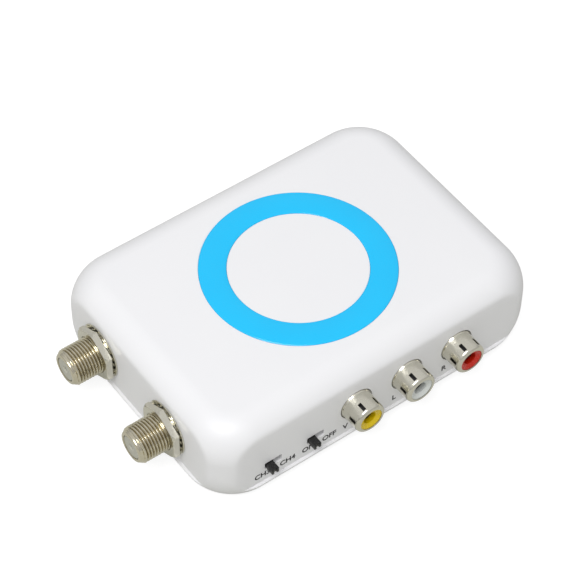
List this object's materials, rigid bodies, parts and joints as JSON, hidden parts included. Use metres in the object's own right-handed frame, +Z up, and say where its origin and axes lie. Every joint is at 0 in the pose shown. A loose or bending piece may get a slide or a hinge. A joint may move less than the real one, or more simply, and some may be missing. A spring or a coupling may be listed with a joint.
{
  "type": "rf modulator",
  "caption": "White pillow-shaped signal box with a blue ring on top, threaded aerial sockets on the left end, phono jacks and slide switches in front.",
  "frame": {"origin": "on the flat underside of the case, straight below the middle of the blue ring", "axes": "+X to the right end away from the aerial sockets, +Y to the back away from the phono jacks, +Z up"},
  "size_m": [0.1061, 0.0747, 0.0251],
  "materials": {
    "white_abs": "satin moulded ABS",
    "blue_acrylic": "glossy bright blue",
    "nickel_plate": "bright nickel plate, slightly warm",
    "nickel_thread": "nickel-plated brass",
    "screw_steel": "zinc-plated steel",
    "tinned_steel": "tin-plated sheet",
    "fr4_green": "solder mask over glass-fibre board",
    "white_insulator": "moulded insulator",
    "gold_contact": "gold-flashed contact",
    "black_abs": "matt black",
    "grey_nylon": "black moulded nylon",
    "yellow_abs": "glossy yellow",
    "jack_white_abs": "glossy white",
    "red_abs": "glossy red",
    "phenolic": "phenolic sheet",
    "chip_epoxy": "moulded epoxy",
    "capacitor_sleeve": "aluminium can"
  },
  "bodies": {
    "case": {"upper_shell": "white_abs", "lower_shell": "white_abs", "ring_inlay": "blue_acrylic", "case_screws": "screw_steel", "circuit_board": "fr4_green", "board_screws": "screw_steel", "shield_can": "tinned_steel", "shield_lid": "tinned_steel", "antenna_socket_body": "nickel_thread", "antenna_socket_insulator": "white_insulator", "antenna_socket_contact": "gold_contact", "antenna_socket_flat_washer": "nickel_plate", "antenna_socket_lock_washer": "nickel_plate", "antenna_socket_nut": "nickel_plate", "tv_socket_body": "nickel_thread", "tv_socket_insulator": "white_insulator", "tv_socket_contact": "gold_contact", "tv_socket_flat_washer": "nickel_plate", "tv_socket_lock_washer": "nickel_plate", "tv_socket_nut": "nickel_plate", "phono_block": "grey_nylon", "video_jack_sleeve": "nickel_plate", "video_jack_insert": "yellow_abs", "video_jack_contact": "gold_contact", "left_jack_sleeve": "nickel_plate", "left_jack_insert": "jack_white_abs", "left_jack_contact": "gold_contact", "right_jack_sleeve": "nickel_plate", "right_jack_insert": "red_abs", "right_jack_contact": "gold_contact", "channel_switch_frame": "tinned_steel", "channel_switch_base": "phenolic", "channel_switch_terminals": "gold_contact", "power_switch_frame": "tinned_steel", "power_switch_base": "phenolic", "power_switch_terminals": "gold_contact", "power_socket_body": "grey_nylon", "power_socket_pin": "nickel_plate", "modulator_chip": "chip_epoxy", "tuning_coils": "tinned_steel", "crystal": "tinned_steel", "capacitors": "capacitor_sleeve", "voltage_regulator": "chip_epoxy"},
    "channel_knob": {"channel_switch_knob": "black_abs"},
    "power_knob": {"power_switch_knob": "black_abs"}
  },
  "joints": [
    {"name": "channel_slide", "type": "slide", "parent": "case", "child": "channel_knob", "axis": [1, 0, 0], "range_m": [0, 0.0024]},
    {"name": "power_slide", "type": "slide", "parent": "case", "child": "power_knob", "axis": [1, 0, 0], "range_m": [0, 0.0024]}
  ]
}
